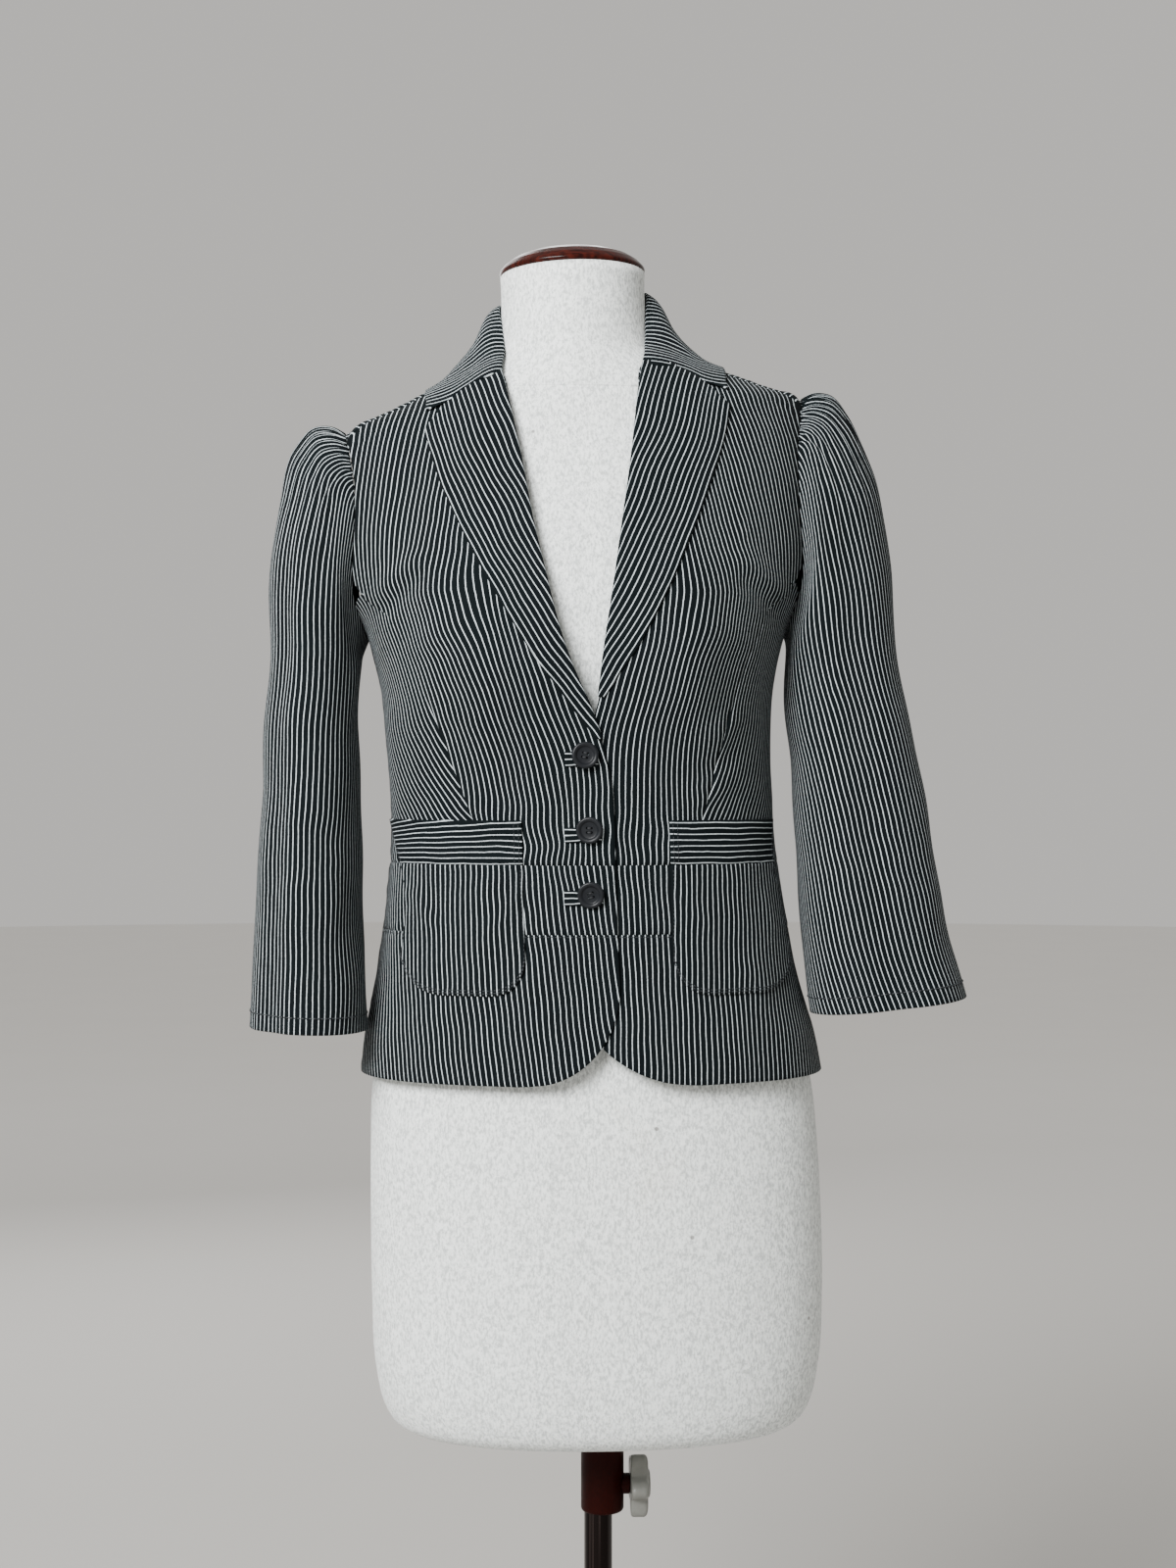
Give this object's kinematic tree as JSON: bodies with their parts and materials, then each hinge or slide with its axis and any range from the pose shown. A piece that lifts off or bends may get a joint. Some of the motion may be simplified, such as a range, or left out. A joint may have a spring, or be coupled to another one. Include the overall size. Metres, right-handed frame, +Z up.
{
  "type": "cropped blazer (bolero jacket) on a dress form",
  "caption": "Fitted, cropped single-breasted blazer with notched lapels, peplum and gathered three-quarter sleeves, worn by a limbless dress form on a pole stand.",
  "frame": {"origin": "centre of the base's underside, on the pole's axis, where it rests on the floor", "axes": "+Z up along the pole, -Y towards the jacket's front, +X towards the wearer's left"},
  "size_m": [0.5481, 0.31, 1.4083],
  "materials": {
    "striped_cloth": "dark blackish-green twill with a narrow pale grey stripe, matt",
    "button_plastic": "near black, slightly glossy, raised rim and four holes",
    "form_jersey": "pale heathered knitted jersey stretched over padding, matt",
    "cap_wood": "dark reddish brown, lacquered",
    "pole_steel": "plated, with a soft brushed polish",
    "base_steel": "satin",
    "socket_plastic": "very dark reddish brown",
    "knob_plastic": "cream, satin"
  },
  "bodies": {
    "stand": {"base": "base_steel", "pole": "pole_steel"},
    "form": {"back": "striped_cloth", "button_1": "button_plastic", "button_2": "button_plastic", "button_3": "button_plastic", "buttonhole_1": "striped_cloth", "buttonhole_2": "striped_cloth", "buttonhole_3": "striped_cloth", "collar_fall": "striped_cloth", "collar_stand": "striped_cloth", "form_torso": "form_jersey", "front_left": "striped_cloth", "front_right": "striped_cloth", "lapel_left": "striped_cloth", "lapel_right": "striped_cloth", "neck_cap": "cap_wood", "peplum_back": "striped_cloth", "peplum_left": "striped_cloth", "peplum_right": "striped_cloth", "pocket_band_left": "striped_cloth", "pocket_band_right": "striped_cloth", "pocket_left": "striped_cloth", "pocket_right": "striped_cloth", "side_front_left": "striped_cloth", "side_front_right": "striped_cloth", "sleeve_left": "striped_cloth", "sleeve_right": "striped_cloth", "socket": "socket_plastic", "waistband_back": "striped_cloth", "waistband_left": "striped_cloth", "waistband_right": "striped_cloth"},
    "knob": {"clamp_knob": "knob_plastic"}
  },
  "joints": [
    {"name": "height_slide", "type": "slide", "parent": "stand", "child": "form", "axis": [0, 0, 1], "range_m": [-0.2, 0.2]},
    {"name": "knob_turn", "type": "hinge", "parent": "form", "child": "knob", "pos_m": [0.0247, 0, 0.445], "axis": [1, 0, 0], "range_deg": [0, 360]}
  ]
}
